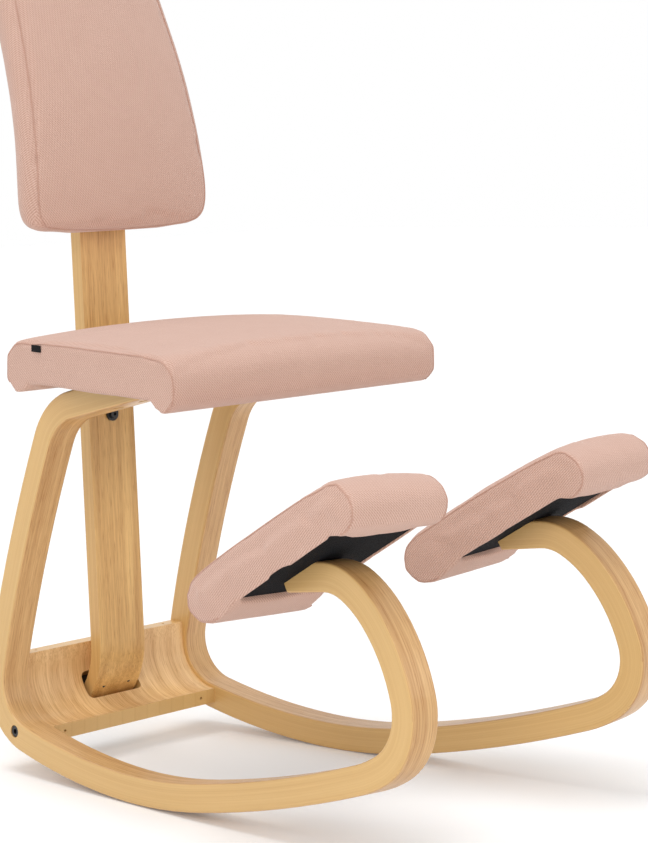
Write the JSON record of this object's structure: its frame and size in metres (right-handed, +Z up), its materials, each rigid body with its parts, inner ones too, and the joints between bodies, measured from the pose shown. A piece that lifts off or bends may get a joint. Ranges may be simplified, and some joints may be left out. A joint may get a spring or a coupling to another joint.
{
  "type": "kneeling chair",
  "caption": "Rocking kneeling chair with padded seat, two knee pads and a tall padded back on bent laminated wood runners.",
  "frame": {"origin": "on the floor, on the middle plane, half way along the runners", "axes": "+Z up, front of the chair towards -Y, the sitter's right side towards -X"},
  "size_m": [0.4822, 0.745, 1.0164],
  "materials": {
    "runner_wood": "satin",
    "panel_wood": "satin",
    "board_wood": "satin",
    "fabric": "woven",
    "undercover": "felt",
    "tab_fabric": "woven",
    "black_steel": "satin",
    "zinc_steel": "plated"
  },
  "bodies": {
    "root": {"runner_right": "runner_wood", "runner_left": "runner_wood", "cross_panel": "panel_wood", "back_post": "panel_wood", "panel_inserts": "zinc_steel", "panel_bolts": "black_steel", "foot_plate": "black_steel", "foot_bolts": "black_steel", "foot_screws": "black_steel", "seat_board": "board_wood", "seat_undercover": "undercover", "seat_cushion": "fabric", "seat_tab": "tab_fabric", "seat_nuts": "zinc_steel", "seat_bolts": "black_steel", "seat_stay": "black_steel", "stay_screws": "black_steel", "stay_bolt": "black_steel", "stay_nut": "black_steel", "knee_board_right": "board_wood", "knee_board_left": "board_wood", "knee_undercover_right": "undercover", "knee_undercover_left": "undercover", "knee_cushion_right": "fabric", "knee_cushion_left": "fabric", "knee_bolts": "black_steel", "knee_nuts": "zinc_steel", "back_board": "board_wood", "back_cushion": "fabric", "back_bolts": "black_steel", "back_nuts": "zinc_steel"}
  },
  "joints": []
}
